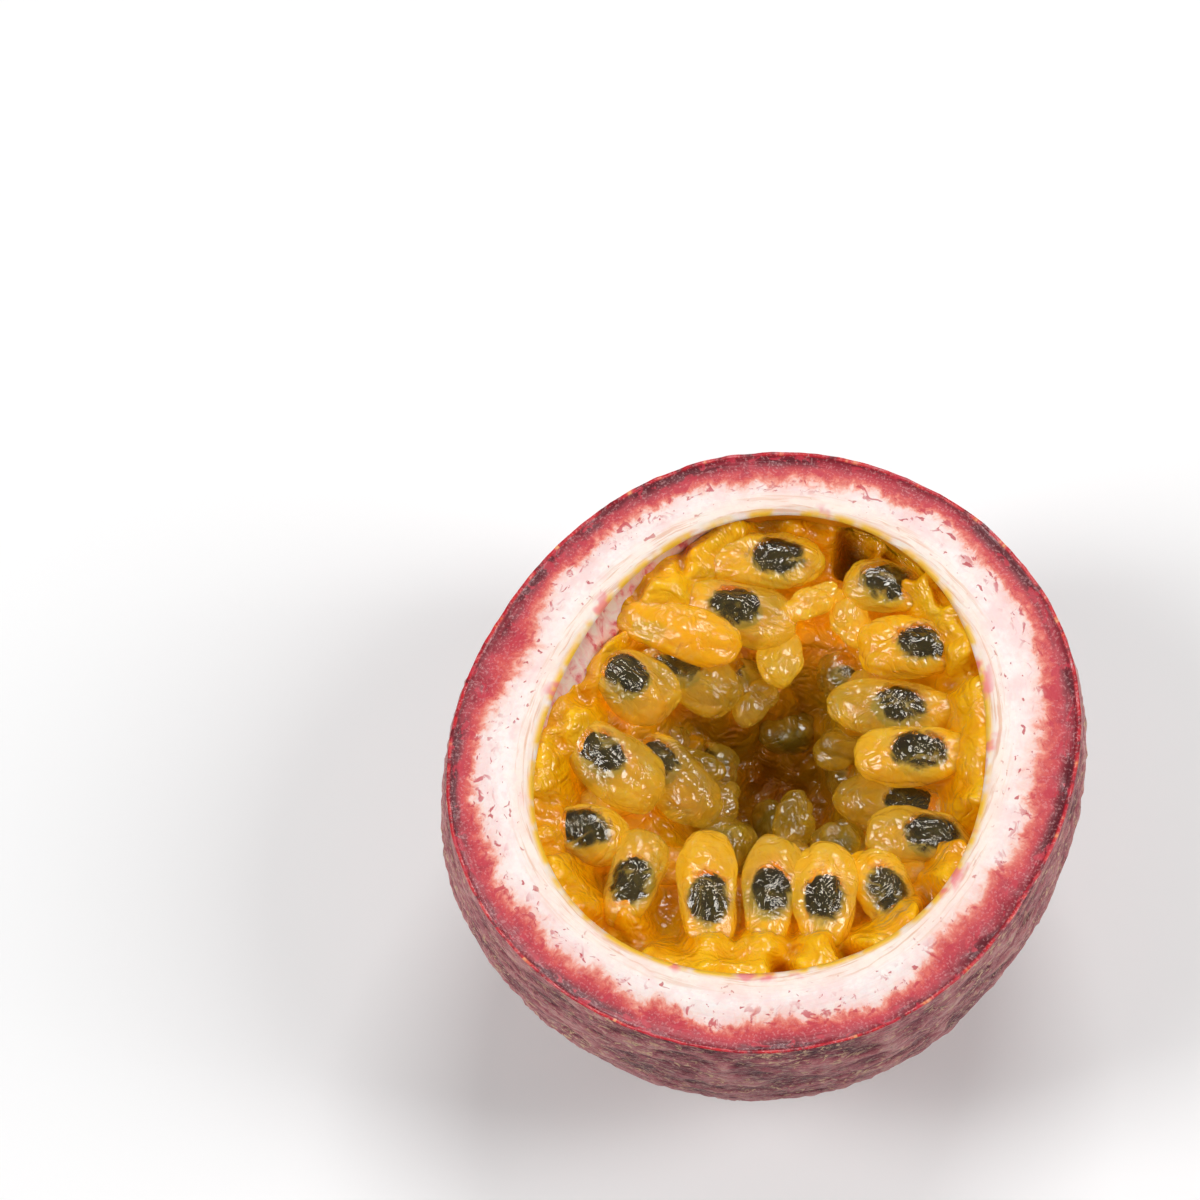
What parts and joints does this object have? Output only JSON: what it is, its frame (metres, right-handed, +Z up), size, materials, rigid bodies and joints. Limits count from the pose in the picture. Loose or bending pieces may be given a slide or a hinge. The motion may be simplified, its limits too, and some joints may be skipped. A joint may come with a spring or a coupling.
{
  "type": "halved passion fruit",
  "caption": "Half of a wrinkled purple passion fruit, cut across and resting cut face up, with a thick pale rind, orange pulp and dark seeds in clear juice sacs round a hollow.",
  "frame": {"origin": "on the resting surface, under the middle of the fruit's outline", "axes": "+Z up, square to the cut face; the fruit is round about +Z, a little longer along the +X+Y diagonal"},
  "size_m": [0.057, 0.058, 0.035],
  "materials": {
    "rind": "wrinkled purple-brown skin outside, crimson to white pith on the cut",
    "pulp": "wet orange pulp",
    "juice_sac": "clear wet amber gel",
    "seed": "pitted, near-black, half gloss",
    "stem": "dry tan stalk end"
  },
  "bodies": {
    "root": {"rind": "rind", "pulp_bed": "pulp", "stem_stub": "stem", "juice_sac_01": "juice_sac", "juice_sac_02": "juice_sac", "juice_sac_03": "juice_sac", "juice_sac_04": "juice_sac", "juice_sac_05": "juice_sac", "juice_sac_06": "juice_sac", "juice_sac_07": "juice_sac", "juice_sac_08": "juice_sac", "juice_sac_09": "juice_sac", "juice_sac_10": "juice_sac", "juice_sac_11": "juice_sac", "juice_sac_12": "juice_sac", "juice_sac_13": "juice_sac", "juice_sac_14": "juice_sac", "juice_sac_15": "juice_sac", "juice_sac_16": "juice_sac", "juice_sac_17": "juice_sac", "juice_sac_18": "juice_sac", "juice_sac_19": "juice_sac", "juice_sac_20": "juice_sac", "juice_sac_21": "juice_sac", "juice_sac_22": "juice_sac", "juice_sac_23": "juice_sac", "juice_sac_24": "juice_sac", "juice_sac_25": "juice_sac", "juice_sac_26": "juice_sac", "juice_sac_27": "juice_sac", "juice_sac_28": "juice_sac", "seed_01": "seed", "seed_02": "seed", "seed_03": "seed", "seed_04": "seed", "seed_05": "seed", "seed_06": "seed", "seed_07": "seed", "seed_08": "seed", "seed_09": "seed", "seed_10": "seed", "seed_11": "seed", "seed_12": "seed", "seed_13": "seed", "seed_14": "seed", "seed_15": "seed", "seed_16": "seed", "seed_17": "seed", "seed_18": "seed", "seed_19": "seed", "seed_20": "seed", "seed_21": "seed", "seed_22": "seed", "seed_23": "seed", "seed_24": "seed", "seed_25": "seed", "seed_26": "seed", "seed_27": "seed", "seed_28": "seed"}
  },
  "joints": []
}
